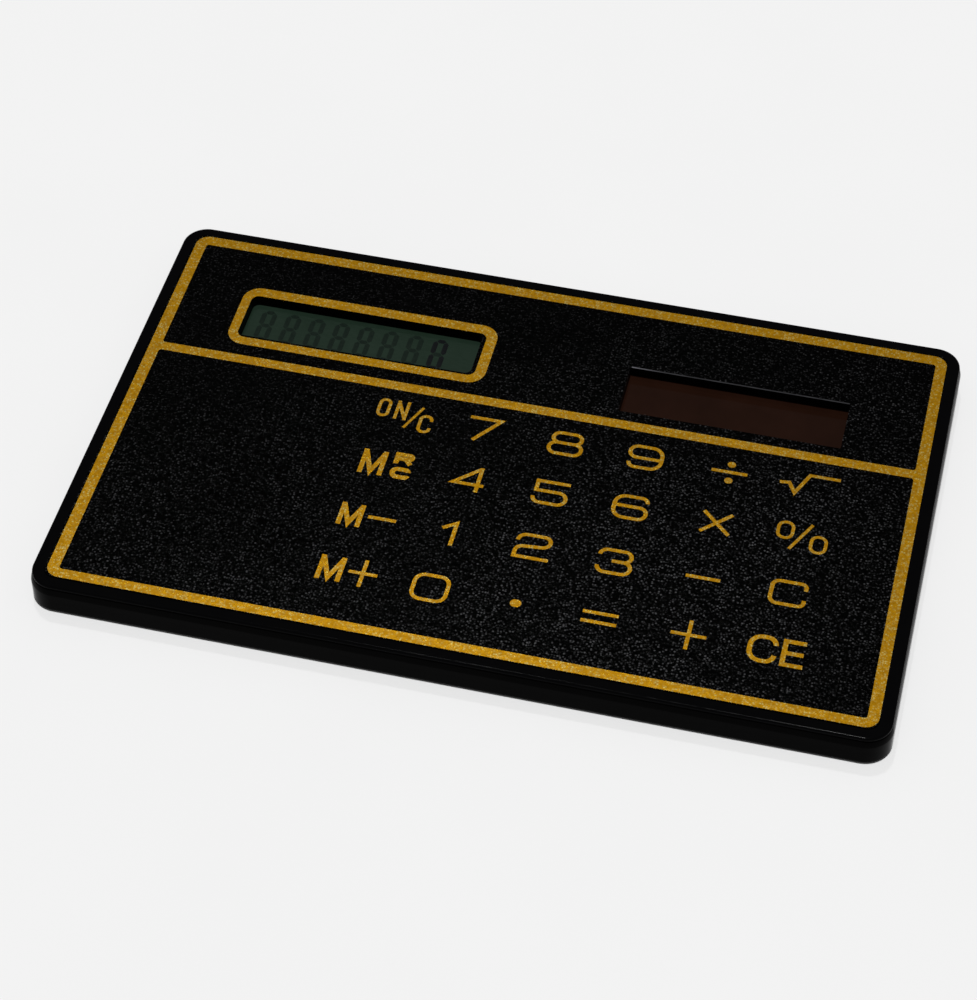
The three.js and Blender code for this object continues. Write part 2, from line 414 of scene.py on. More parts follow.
def blend_colour(tree, share, first, second):
    """A colour between two, each of which is a link or red, green and blue."""
    made = node(tree, "ShaderNodeMix", data_type="RGBA")
    for index, value in ((0, share), (6, first), (7, second)):
        if isinstance(value, bpy.types.NodeSocket):
            tree.links.new(value, made.inputs[index])
        elif isinstance(value, tuple):
            made.inputs[index].default_value = (*value, 1)
        else:
            made.inputs[index].default_value = value
    return made.outputs[2]


def link(tree, output, shader, socket):
    tree.links.new(output, shader.inputs[socket])


def bump(tree, shader, value, distance, strength=1.0):
    """Relief from a height value, with its depth in metres."""
    inputs = {"Height": value, "Distance": distance, "Strength": strength}
    made = node(tree, "ShaderNodeBump", inputs)
    link(tree, made.outputs["Normal"], shader, "Normal")


GRAIN = 3700


def painted_glint_specks(tree, where):
    """Small round pale specks, painted glints of the grain: most are faint, a few bright, brighter towards
    the near right by a painted gradient.
    """
    distance, tint = cells(tree, where, GRAIN)
    chance = node(tree, "ShaderNodeSeparateColor", {"Color": tint}).outputs["Red"]
    rare = power(tree, chance, 2.0)
    dot = remap(tree, distance, 0.5, 0.1, 0.0, 1.0)
    patch = remap(tree, noise(tree, where, 110), 0.35, 0.65, 0.5, 1.0)
    # The dot product below is a painted gradient of glint, brighter towards the near right of the face.
    glint_gradient_inputs = {0: where, 1: (0.5, -1.0, 0.0)}
    glint_gradient = node(tree, "ShaderNodeVectorMath", glint_gradient_inputs, operation="DOT_PRODUCT").outputs["Value"]
    share = dot
    for part in (rare, patch, remap(tree, glint_gradient, -0.02, 0.02, 0.22, 1.0)):
        share = product(tree, share, part)
    return share


def film_material():
    """Black film with a pebbled grain and pale specks that are painted glints."""
    made, tree, shader, where = surface("printed_film", IOR=1.45, Specular_IOR_Level=0.03)
    share = painted_glint_specks(tree, where)
    # The pale second colour is the painted glint of each speck.
    colour = blend_colour(tree, share, (0.0002, 0.0002, 0.0002), (0.088, 0.088, 0.092))
    link(tree, colour, shader, "Base Color")
    rough = remap(tree, noise(tree, where, GRAIN * 0.8), 0.3, 0.7, 0.14, 0.22)
    link(tree, rough, shader, "Roughness")
    bump(tree, shader, noise(tree, where, GRAIN, 1.5), 0.00007)
    return made


def gold_material():
    """Gold ink: a deep yellow ground full of fine pale flakes."""
    made, tree, shader, where = surface("gold_ink", Metallic=0.88)
    drift = remap(tree, noise(tree, where, 2300), 0.35, 0.65, 0.0, 1.0)
    ground = blend_colour(tree, drift, (0.71, 0.335, 0.003), (0.81, 0.4, 0.006))
    distance, tint = cells(tree, where, GRAIN * 1.2)
    chance = node(tree, "ShaderNodeSeparateColor", {"Color": tint}).outputs["Red"]
    rare = power(tree, chance, 1.5)
    dot = remap(tree, distance, 0.55, 0.2, 0.0, 1.0)
    colour = blend_colour(tree, product(tree, dot, rare), ground, (1.0, 0.86, 0.3))
    link(tree, colour, shader, "Base Color")
    link(tree, remap(tree, drift, 0.0, 1.0, 0.245, 0.275), shader, "Roughness")
    bump(tree, shader, drift, 0.000001)
    return made


def gloss_material(name, dark, light, shine):
    """Polished black moulding, with faint waves and hairline scratches."""
    made, tree, shader, where = surface(name, IOR=1.46, Specular_IOR_Level=shine)
    wear = noise(tree, where, 260, 5.0, 0.65)
    link(tree, blend_colour(tree, wear, dark, light), shader, "Base Color")
    hair = noise(tree, stretched(tree, where, (1, 14, 3)), 700, 4.0, 0.7)
    link(tree, remap(tree, hair, 0.35, 0.75, 0.08, 0.2), shader, "Roughness")
    bump(tree, shader, noise(tree, where, 320), 0.000012, 0.5)
    return made


def plain_material(name, dark, light, rough, scale, relief, **inputs):
    """A mottled material: two colours, a roughness range, and the scale and depth of its relief."""
    made, tree, shader, where = surface(name, **inputs)
    mottle = noise(tree, where, scale, 4.0, 0.6)
    share = remap(tree, mottle, 0.3, 0.7, 0.0, 1.0)
    link(tree, blend_colour(tree, share, dark, light), shader, "Base Color")
    fine = noise(tree, where, scale * 2.3, 3.0)
    link(tree, remap(tree, fine, 0.3, 0.7, *rough), shader, "Roughness")
    bump(tree, shader, mottle, relief, 0.6)
    return made


def polariser_material():
    """Grey-green display with a fine horizontal brushing from its reflector."""
    made, tree, shader, where = surface("polariser", IOR=1.5, Specular_IOR_Level=0.1)
    brushed = noise(tree, stretched(tree, where, (1, 9, 1)), 900, 3.0, 0.6)
    cloud = noise(tree, where, 130)
    mixed = node(tree, "ShaderNodeMath", {0: brushed, 1: cloud}, operation="ADD")
    share = remap(tree, mixed.outputs[0], 0.7, 1.3, 0.0, 1.0)
    colour = blend_colour(tree, share, (0.0085, 0.0185, 0.0112), (0.0118, 0.0238, 0.0155))
    link(tree, colour, shader, "Base Color")
    link(tree, remap(tree, brushed, 0.3, 0.7, 0.3, 0.42), shader, "Roughness")
    bump(tree, shader, brushed, 0.000004, 0.4)
    return made


def cell_material():
    """Brown amorphous silicon seen through its glass."""
    made, tree, shader, where = surface("solar_glass", IOR=1.5, Specular_IOR_Level=0.1)
    cloud = noise(tree, where, 150, 3.0, 0.6)
    share = remap(tree, cloud, 0.3, 0.7, 0.0, 1.0)
    brown = blend_colour(tree, share, (0.011, 0.0042, 0.0024), (0.016, 0.006, 0.0035))
    link(tree, brown, shader, "Base Color")
    link(tree, remap(tree, cloud, 0.3, 0.7, 0.08, 0.16), shader, "Roughness")
    bump(tree, shader, cloud, 0.000003, 0.3)
    return made


def painted_edge_highlight_material():
    """The clear edge of the film where the solar window is cut, with a pale painted highlight that fades
    from the left towards the right.
    """
    made, tree, shader, where = surface("film_edge_painted_highlight", IOR=1.5, Specular_IOR_Level=0.2)
    along = node(tree, "ShaderNodeSeparateXYZ", {"Vector": where}).outputs["X"]
    highlight_fade = remap(tree, along, 0.009, 0.013, 1.0, 0.22)
    ragged = remap(tree, noise(tree, where, 900, 3.0), 0.35, 0.65, 0.6, 1.0)
    share = product(tree, highlight_fade, ragged)
    # The pale second colour is a painted highlight on the cut edge, strongest at its left end.
    colour = blend_colour(tree, share, (0.01, 0.01, 0.01), (0.15, 0.15, 0.165))
    link(tree, colour, shader, "Base Color")
    link(tree, remap(tree, ragged, 0.6, 1.0, 0.3, 0.45), shader, "Roughness")
    bump(tree, shader, ragged, 0.000004, 0.5)
    return made


def board_material():
    """Green solder mask over copper tracks."""
    made, tree, shader, where = surface("board", IOR=1.5)
    tracks = node(
        tree,
        "ShaderNodeTexVoronoi",
        {"Vector": where, "Scale": 420.0, "Randomness": 0.35},
        distance="MANHATTAN",
        feature="F2",
    ).outputs["Distance"]
    share = remap(tree, tracks, 0.62, 0.68, 0.0, 1.0)
    mask = blend_colour(tree, share, (0.012, 0.09, 0.035), (0.03, 0.17, 0.06))
    link(tree, mask, shader, "Base Color")
    link(tree, remap(tree, noise(tree, where, 900), 0.3, 0.7, 0.25, 0.4), shader, "Roughness")
    bump(tree, shader, share, 0.00002, 0.6)
    return made


FILM = film_material()
GOLD = gold_material()
RIM = gloss_material("black_casing", (0.0012, 0.0012, 0.0014), (0.0022, 0.0022, 0.0024), 0.022)
# The lower shell is the same black plastic as the casing, painted darker to stand in for the shade on the
# card's side walls.
COVER_BLACK_WITH_PAINTED_SHADE = gloss_material("black_cover_painted_shade", (0.0004, 0.0004, 0.0004), (0.001, 0.0009, 0.0009), 0.02)
RUBBER = plain_material(
    "key_rubber", (0.012, 0.012, 0.013), (0.02, 0.02, 0.022), (0.6, 0.8), 2600, 0.00001
)
GHOST_COLOURS = ((0.0032, 0.0082, 0.0052), (0.0055, 0.0118, 0.0078))
LIT_COLOURS = ((0.0015, 0.0025, 0.003), (0.0035, 0.0045, 0.005))


def segment_material(name, colours):
    """Liquid crystal, as satin as the polariser around it."""
    return plain_material(
        name, *colours, (0.3, 0.42), 2200, 0.000002, Specular_IOR_Level=0.1
    )


GHOST = segment_material("ghost_segment", GHOST_COLOURS)
LIT = segment_material("lit_segment", LIT_COLOURS)

# CAD nodes that keep their shape, and their material's name, two colours, roughness range,
# scale and depth of relief.
PLAIN_NODES = [
    (["key_mat"], "mat_rubber", (0.2, 0.21, 0.22), (0.28, 0.29, 0.3), (0.6, 0.8), 1500, 0.00002),
    (["chip_cover"], "epoxy", (0.004, 0.004, 0.004), (0.012, 0.012, 0.012), (0.2, 0.4), 700,
     0.00004),
    (["voltage_clamp_led"], "led", (0.35, 0.02, 0.01), (0.5, 0.05, 0.03), (0.15, 0.3), 1200,
     0.00001),
    (["timing_resistor"], "resistor", (0.01, 0.01, 0.01), (0.03, 0.03, 0.03), (0.4, 0.6), 2500,
     0.00002),
    (["solar_lead_positive"], "red_wire", (0.3, 0.015, 0.01), (0.42, 0.03, 0.02), (0.35, 0.5),
     900, 0.00001),
    (["solar_lead_negative"], "black_wire", (0.008, 0.008, 0.008), (0.02, 0.02, 0.02),
     (0.35, 0.5), 900, 0.00001),
    (["lcd_reflector"], "reflector", (0.3, 0.32, 0.3), (0.42, 0.44, 0.41), (0.35, 0.5), 1800,
     0.00001),
    (["display_connector"], "zebra", (0.4, 0.37, 0.33), (0.6, 0.56, 0.5), (0.6, 0.75), 2400,
     0.00002),
    (["solar_cell_layer"], "solar_layer", (0.03, 0.01, 0.006), (0.05, 0.015, 0.01), (0.3, 0.45),
     800, 0.000005),
    (["supply_capacitor", "timing_capacitor"], "ceramic", (0.24, 0.14, 0.06), (0.36, 0.23, 0.12),
     (0.4, 0.6), 2500, 0.00002),
    (["lcd_front_glass", "lcd_rear_glass"], "display_glass", (0.16, 0.2, 0.17), (0.2, 0.24, 0.21),
     (0.05, 0.1), 600, 0.000002),
    (["display_cushion", "solar_cushion"], "foam", (0.03, 0.03, 0.03), (0.1, 0.1, 0.1),
     (0.85, 0.95), 3200, 0.00015),
]

NODE_MATERIALS = {
    "lcd_front_polariser": polariser_material(),
    "solar_cell_glass": cell_material(),
    "circuit_board": board_material(),
}
for nodes, *look in PLAIN_NODES:
    NODE_MATERIALS.update(dict.fromkeys(nodes, plain_material(*look)))

# ---- Shells ------------------------------------------------------------------------------------

CARD = area_of("front_casing")
COVER = area_of("rear_cover")
FILM_AREA = area_of("face_film")
POSTS = [(-38.2, 5.5), (-19.2, 5.5), (-38.2, -22), (-19.2, -22), (37, -22), (37, -4)]
RIBS = [
    (-36, -35.2, 10.2, 19.2),
    (-4.8, -4, 10.2, 19.2),
    (6.6, 7.4, 9.2, 13.2),
    (34.2, 35, 13.6, 17.6),
]


def key_centre(name):
    """The middle of a key, along X and Y."""
    left, right, near, far = area_of(name)
    return (left + right) / 2, (near + far) / 2


def key_stem(name):
    """The rectangle of a key's rubber stem, which goes up through the casing."""
    x, y = key_centre(name)
    return (x - STEM_X, x + STEM_X, y - STEM_Y, y + STEM_Y)


def collar(name, window, radius, glass_top):
    """The wall round a window, which reaches down to its glass."""
    outline = rounded(grow(window, COLLAR), radius + COLLAR)
    return plate(name, [outline], glass_top + GLASS_GAP, CASING_BOTTOM + OVERLAP)


def front_casing():
    """The upper shell, with its plug and lip, window collars, locating pins and openings."""
    rim = low_edge(RIM_LOW_EDGE, RIM_BOTTOM) + high_edge(RIM_HIGH_EDGE, CASING_TOP)
    shell = block("casing_shell", CARD, CARD_RADIUS, rim)
    inner = grow(COVER, -(WALL + PLUG_GAP))
    outside = rounded(inner, PLUG_RADIUS)
    inside = rounded(grow(inner, -LIP_WIDTH), PLUG_RADIUS - LIP_WIDTH)
    joined = [
        plate("plug", [outside], CASING_BOTTOM, RIM_BOTTOM + OVERLAP),
        plate("lip", [outside, inside], CASING_BOTTOM - LIP_DEPTH, CASING_BOTTOM + OVERLAP),
        collar("display_collar", DISPLAY_WINDOW, DISPLAY_RADIUS, POLARISER_TOP),
        collar("solar_collar", SOLAR_WINDOW, SOLAR_RADIUS, CELL_TOP),
    ]
    for x, y in POSTS:
        pin = [circle(x, y, PIN_RADIUS)]
        joined.append(plate("pin", pin, COVER_FLOOR + PIN_GAP, CASING_BOTTOM + OVERLAP))
    combine(shell, joined, "UNION")
    recess = rounded(grow(FILM_AREA, SEAT_GAP), FILM_RADIUS + SEAT_GAP)
    openings = [
        rounded(grow(DISPLAY_WINDOW, SEAT_GAP), DISPLAY_RADIUS),
        rounded(grow(SOLAR_WINDOW, SEAT_GAP), SOLAR_RADIUS),
    ]
    openings += [rounded(grow(key_stem(name), KEY_GAP), KEY_RADIUS, 5) for name in KEY_NODES]
    cut = [
        plate("seat", [recess], FILM_SEAT, CASING_TOP + CLEAR),
        plate("through", openings, COVER_FLOOR, CASING_TOP + CLEAR, either),
    ]
    combine(shell, cut, "DIFFERENCE")
    return shell


def rear_cover():
    """The lower shell, with the ribs that hold the display and the solar cell."""
    radius = CARD_RADIUS + COVER_STEP
    shell = block("cover_shell", COVER, radius, low_edge(COVER_LOW_EDGE, 0) + COVER_SLOPE)
    inside = rounded(grow(COVER, -WALL), radius - WALL)
    combine(shell, [plate("hollow", [inside], COVER_FLOOR, COVER_TOP + CLEAR)], "DIFFERENCE")
    walls = [plate("rib", [sharp(rib)], COVER_FLOOR - OVERLAP, RIB_TOP) for rib in RIBS]
    combine(shell, walls, "UNION")
    return shell


# ---- Face film ---------------------------------------------------------------------------------


def keypad_area():
    """The rectangle that the cells of film over all the keys make together."""
    centres = [key_centre(name) for name in KEY_NODES]
    xs = [x for x, _ in centres]
    ys = [y for _, y in centres]
    return (
        min(xs) - PITCH_X / 2,
        max(xs) + PITCH_X / 2,
        min(ys) - PITCH_Y / 2,
        max(ys) + PITCH_Y / 2,
    )


def face_film():
    """The still part of the film, with its windows, around the keypad."""
    loops = [
        rounded(FILM_AREA, FILM_RADIUS, 16),
        rounded(DISPLAY_WINDOW, DISPLAY_RADIUS),
        rounded(SOLAR_WINDOW, SOLAR_RADIUS),
        sharp(keypad_area()),
    ]
    return plate("film_sheet", loops, FILM_BOTTOM, FILM_TOP)


def window_bead():
    """The bevelled edge of the film at the far side of the solar window."""
    left, right, _, far = SOLAR_WINDOW
    top = FILM_TOP - BEVEL_DROP
    profile = ((far, top), (far - BEVEL, top - BEVEL), (far, top - BEVEL))
    rings = [[(x, y, z) for y, z in profile] for x in (left + BEVEL, right - BEVEL)]
    return loft("solar_window_bead", rings)


def key_cell(name):
    """The film over one key: flat where the finger presses, and free to bend around that."""
    x, y = key_centre(name)
    outer = []
    for i in range(CELL_SPOKES):
        turn = 2 * math.pi * (i + 0.5) / CELL_SPOKES
        across = math.cos(turn)
        along = math.sin(turn)
        reach = 1 / max(abs(across), abs(along))
        outer.append((reach * across * PITCH_X / 2, reach * along * PITCH_Y / 2))
    outer += [(PITCH_X / 2 * a, PITCH_Y / 2 * b) for a in (-1, 1) for b in (-1, 1)]
    outer.sort(key=lambda point: math.atan2(point[1], point[0]))
    inner = [(px * FLAT_X * 2 / PITCH_X, py * FLAT_Y * 2 / PITCH_Y) for px, py in outer]
    lower = []
    upper = []
    for level in range(CELL_LEVELS + 1):
        share = level / CELL_LEVELS
        outline = [
            (x + a + (c - a) * share, y + b + (d - b) * share)
            for (a, b), (c, d) in zip(outer, inner)
        ]
        low = FILM_SEAT + CELL_GAP - CELL_SAG * min(1.0, 3 * share)
        high = FILM_TOP + CROWN * share
        lower.append([(px, py, low) for px, py in outline])
        upper.append([(px, py, high) for px, py in outline])
    stack = lower[::-1] + upper
    cell = loft(name + "_film", stack)
    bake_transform(cell, CASE, name, start=(0, 0, FILM_TOP * MM), end=(0, 0, (FILM_TOP + CROWN) * MM))
    return cell


# ---- Gold print --------------------------------------------------------------------------------


FILLET_STEPS = 8


def fillet(points, closed, scale):
    """Rounds the corners of a path. A point is x, y and, for a round corner, its radius."""
    count = len(points)
    places = [Vector(point[:2]) for point in points]
    path = []
    for i, point in enumerate(points):
        at_end = not closed and i in (0, count - 1)
        if len(point) < 3 or at_end:
            path.append(places[i])
            continue
        before = places[i - 1] - places[i]
        after = places[(i + 1) % count] - places[i]
        half = before.angle(after) / 2
        room_before = before.length / (2 if closed or i > 1 else 1)
        room_after = after.length / (2 if closed or i < count - 2 else 1)
        reach = min(point[2] * scale / math.tan(half), room_before, room_after)
        radius = reach * math.tan(half)
        inward = (before.normalized() + after.normalized()).normalized()
        centre = places[i] + inward * (radius / math.sin(half))
        first = places[i] + before.normalized() * reach - centre
        sweep = math.pi - 2 * half
        if before.x * after.y - before.y * after.x > 0:
            sweep = -sweep
        for step in range(FILLET_STEPS + 1):
            turned = Matrix.Rotation(sweep * step / FILLET_STEPS, 2) @ first
            path.append(centre + turned)
    return path


def ribbon(path, width, closed):
    """Quads that give a path its width, with mitred corners and flat ends."""
    count = len(path)
    sides = []
    for i, point in enumerate(path):
        before = path[i - 1] if closed or i else point
        after = path[(i + 1) % count] if closed or i < count - 1 else point
        ways = []
        for way in (point - before, after - point):
            if way.length > 1e-6:
                ways.append(way.normalized())
        if not ways:
            continue
        normals = [Vector((-way.y, way.x)) for way in ways]
        mitre = sum(normals, Vector((0, 0))).normalized()
        offset = mitre * width / 2 / max(mitre.dot(normals[0]), 0.3)
        sides.append((point + offset, point - offset))
    following = sides[1:] + sides[:1] if closed else sides[1:]
    pairs = zip(sides, following)
    return [[tuple(a), tuple(b), tuple(d), tuple(c)] for (a, b), (c, d) in pairs]


def line(*points):
    """An open stroke: False, as it isn't closed, and its points."""
    return False, points


def ring(*points):
    """A closed stroke: True, and its points."""
    return True, points


# The middle line of each sign. Both axes run from -1 to 1 between its outer strokes, and a
# third number rounds a corner, as a share of the sign's smaller half.
SIGNS = {
    "0": [ring((-1, -1, 0.6), (1, -1, 0.6), (1, 1, 0.6), (-1, 1, 0.6))],
    "1": [line((-0.95, 0.38), (0.5, 1), (0.5, -1.15))],
    "2": [
        line((-1, 0.42), (-1, 1, 0.55), (1, 1, 0.75), (1, 0.1, 0.5), (-1, -0.1, 0.5),
             (-1, -1), (1.14, -1)),
    ],
    "3": [
        line((-1, 0.5), (-1, 1, 0.5), (0.93, 1, 0.5), (0.93, 0.05, 0.5), (-0.2, 0.05)),
        line((-0.2, 0.05), (1, 0.05, 0.5), (1, -1, 0.7), (-1, -1, 0.5), (-1, -0.48)),
    ],
    "4": [
        line((0.72, 1.05), (-0.76, -0.5), (1.12, -0.5)),
        line((0.74, 1.16), (0.74, -1.16)),
    ],
    "5": [
        line((1.06, 1), (-0.92, 1), (-0.92, 0.12), (1, 0.12, 0.55), (1, -1, 0.75),
             (-1, -1, 0.5), (-1, -0.48)),
    ],
    "6": [
        line((0.95, 0.55), (0.95, 1, 0.5), (-1, 1, 0.75), (-1, -1, 0.75), (1, -1, 0.75),
             (1, 0.08, 0.5), (-1, 0.08)),
    ],
    "7": [line((-1.12, 1), (0.8, 1), (-0.6, -1.14))],
    "8": [
        ring((-0.88, 0.05, 0.5), (0.88, 0.05, 0.5), (0.88, 1, 0.5), (-0.88, 1, 0.5)),
        ring((-1, -1, 0.6), (1, -1, 0.6), (1, 0.05, 0.5), (-1, 0.05, 0.5)),
    ],
    "9": [
        line((-0.95, -0.55), (-0.95, -1, 0.5), (1, -1, 0.75), (1, 1, 0.75), (-1, 1, 0.75),
             (-1, -0.08, 0.5), (1, -0.08)),
    ],
    "dot": [ring((-0.5, -0.5, 0.5), (0.5, -0.5, 0.5), (0.5, 0.5, 0.5), (-0.5, 0.5, 0.5))],
    "minus": [line((-1, 0), (1, 0))],
    "plus": [line((-1.16, 0), (1.16, 0)), line((0, -1.16), (0, 1.16))],
    "times": [line((-1, -1), (1, 1)), line((-1, 1), (1, -1))],
    "equals": [line((-1.14, 1), (1.14, 1)), line((-1.14, -1), (1.14, -1))],
    "slash": [line((-1, -1), (1, 1))],
    "root": [
        line((-1.06, 0.02), (-0.72, 0.1), (-0.46, -0.74), (-0.03, 1), (1.08, 1)),
    ],
    "O": [ring((-1, -1, 0.95), (1, -1, 0.95), (1, 1, 0.95), (-1, 1, 0.95))],
    "N": [
        line((-1, -1.18), (-1, 1.18)),
        line((-0.98, 0.98), (0.98, -0.98)),
        line((1, -1.18), (1, 1.18)),
    ],
    "C": [
        line((1, 0.42), (1, 1, 0.95), (-1, 1, 0.95), (-1, -1, 0.95), (1, -1, 0.95),
             (1, -0.42)),
    ],
    "square_C": [
        line((1, 0.42), (1, 1, 0.35), (-1, 1, 0.5), (-1, -1, 0.5), (1, -1, 0.35),
             (1, -0.42)),
    ],
    "M": [
        line((-1, -1.18), (-1, 1.18)),
        line((-0.96, 1.0), (0, -0.92), (0.96, 1.0)),
        line((1, -1.18), (1, 1.18)),
    ],
    "R": [
        line((-1, -1.3), (-1, 1), (1, 1, 0.6), (1, 0, 0.6), (-1, 0)),
        line((0.2, 0), (1, -1.2)),
    ],
    "E": [line((1.16, 1), (-1, 1), (-1, -1), (1.16, -1)), line((-1, 0), (1.05, 0))],
}

# What each key shows: sign, middle along X and Y, width, height and stroke.
LEGENDS = {
    "key_on_c": [
        ("O", -14.61, 4.54, 1.38, 2.62, 0.35),
        ("N", -12.7, 4.52, 1.36, 2.62, 0.35),
        ("slash", -11.27, 3.78, 1.72, 3.55, 0.3),
        ("C", -9.9, 3.15, 1.5, 2.62, 0.36),
    ],
    "key_7": [("7", -3.61, 3.84, 3.84, 3.42, 0.42)],
    "key_8": [("8", 4.92, 3.8, 3.78, 3.36, 0.42)],
    "key_9": [("9", 13.22, 3.8, 3.78, 3.38, 0.42)],
    "key_divide": [
        ("minus", 21.92, 3.82, 4.12, 0.42, 0.42),
        ("dot", 21.98, 4.9, 1.3, 1.2, 0.4),
        ("dot", 22.02, 2.64, 1.3, 1.2, 0.4),
    ],
    "key_root": [("root", 30.1, 3.72, 6.02, 3.52, 0.4)],
    "key_memory_recall": [
        ("M", -13.7, -3.3, 2.56, 3.36, 0.5),
        ("R", -10.66, -2.2, 2.06, 1.68, 0.52),
        ("C", -10.64, -4.2, 2.12, 1.62, 0.54),
    ],
    "key_4": [("4", -3.82, -3.28, 3.78, 3.38, 0.42)],
    "key_5": [("5", 4.87, -3.3, 3.78, 3.36, 0.42)],
    "key_6": [("6", 13.12, -3.32, 3.78, 3.38, 0.42)],
    "key_multiply": [("times", 21.9, -3.38, 3.34, 3.22, 0.4)],
    "key_percent": [
        ("O", 28.8, -2.65, 1.82, 2.47, 0.35),
        ("O", 32.3, -3.95, 1.82, 2.47, 0.35),
        ("slash", 30.45, -3.25, 2.22, 4.02, 0.34),
    ],
    "key_memory_minus": [
        ("M", -13.96, -10.85, 2.46, 3.06, 0.5),
        ("minus", -10.75, -10.73, 3.32, 0.42, 0.42),
    ],
    "key_1": [("1", -3.74, -10.96, 2.2, 3.26, 0.42)],
    "key_2": [("2", 4.76, -10.83, 3.72, 3.42, 0.42)],
    "key_3": [("3", 13.1, -10.87, 3.72, 3.42, 0.42)],
    "key_minus": [("minus", 21.96, -10.9, 3.87, 0.42, 0.42)],
    "key_clear": [("square_C", 30.43, -10.9, 3.77, 3.37, 0.42)],
    "key_memory_plus": [
        ("M", -13.98, -18.22, 2.58, 3.2, 0.5),
        ("plus", -10.7, -18.2, 2.92, 3.46, 0.4),
    ],
    "key_0": [("0", -3.8, -18.44, 3.84, 3.62, 0.42)],
    "key_point": [("dot", 4.8, -18.42, 1.68, 1.35, 0.6)],
    "key_equals": [("equals", 13.16, -18.36, 3.54, 1.6, 0.42)],
    "key_plus": [("plus", 21.96, -18.42, 3.42, 3.62, 0.4)],
    "key_clear_entry": [
        ("C", 29.2, -18.44, 2.96, 3.56, 0.5),
        ("E", 32.24, -18.44, 2.36, 3.46, 0.5),
    ],
}


def sign_loops(sign, x, y, width, tall, stroke):
    """The quads of one sign at its place on the face."""
    half_x = max(width - stroke, 0) / 2
    half_y = max(tall - stroke, 0) / 2
    loops = []
    for closed, points in SIGNS[sign]:
        scaled = [(x + px * half_x, y + py * half_y, *rest) for px, py, *rest in points]
        loops += ribbon(fillet(scaled, closed, min(half_x, half_y)), stroke, closed)
    return loops


def legend(name):
    """The gold signs on one key."""
    loops = [loop for sign in LEGENDS[name] for loop in sign_loops(*sign)]
    low = FILM_TOP + CROWN
    return plate(name + "_legend", loops, low, low + INK, either)


def border():
    """The gold line round the face, with the line that divides it."""
    left, right, near, far = BORDER_INSIDE
    loops = [
        rounded(BORDER, BORDER_RADIUS, 16),
        rounded((left, right, near, DIVIDER[0]), BORDER_INSIDE_RADIUS, 4),
        rounded((left, right, DIVIDER[1], far), BORDER_INSIDE_RADIUS, 4),
    ]
    return plate("gold_border", loops, FILM_TOP, FILM_TOP + INK)


def display_frame():
    """The gold line round the display window."""
    loops = [
        rounded(DISPLAY_FRAME, DISPLAY_FRAME_RADIUS, 14),
        rounded(DISPLAY_FRAME_INSIDE, DISPLAY_FRAME_INSIDE_RADIUS),
    ]
    return plate("gold_display_frame", loops, FILM_TOP, FILM_TOP + INK)


# ---- Display digits ----------------------------------------------------------------------------

DIGITS = 8
DIGIT_PITCH = 2.72
LAST_DIGIT = -11.53
DIGIT_WIDTH = 1.67
DIGIT_LOW = 12.35
DIGIT_HIGH = 16.95
SEGMENT = 0.54
SEGMENT_GAP = 0.05
SEGMENT_HEIGHT = 0.008


def segment(start, end):
    """A display segment: a bar with pointed ends."""
    start = Vector(start)
    end = Vector(end)
    along = (end - start).normalized()
    across = Vector((-along.y, along.x)) * SEGMENT / 2
    first = start + along * SEGMENT_GAP
    last = end - along * SEGMENT_GAP
    step = along * SEGMENT / 2
    points = (
        first,
        first + step + across,
        last - step + across,
        last,
        last - step - across,
        first + step - across,
    )
    return [tuple(point) for point in points]


def digit_segments(x):
    """The outline of the six outer segments of a digit, and of its middle segment."""
    left = x - (DIGIT_WIDTH - SEGMENT) / 2
    right = x + (DIGIT_WIDTH - SEGMENT) / 2
    low = DIGIT_LOW + SEGMENT / 2
    high = DIGIT_HIGH - SEGMENT / 2
    middle = (low + high) / 2
    outer = [
        segment((left, high), (right, high)),
        segment((left, low), (right, low)),
        segment((left, low), (left, middle)),
        segment((left, middle), (left, high)),
        segment((right, low), (right, middle)),
        segment((right, middle), (right, high)),
    ]
    return outer, segment((left, middle), (right, middle))


def display_digits():
    """The faint ghost of every segment, and the nought that is switched on."""
    nought, bar = digit_segments(LAST_DIGIT)
    faint = [bar]
    for place_from_right in range(1, DIGITS):
        outer, bar = digit_segments(LAST_DIGIT - place_from_right * DIGIT_PITCH)
        faint.append(bar)
        faint += outer
    top = POLARISER_TOP + SEGMENT_HEIGHT
    return (
        plate("display_ghost_digits", faint, POLARISER_TOP, top),
        plate("display_nought", nought, POLARISER_TOP, top),
    )


# ---- Rubber pads under the film ----------------------------------------------------------------


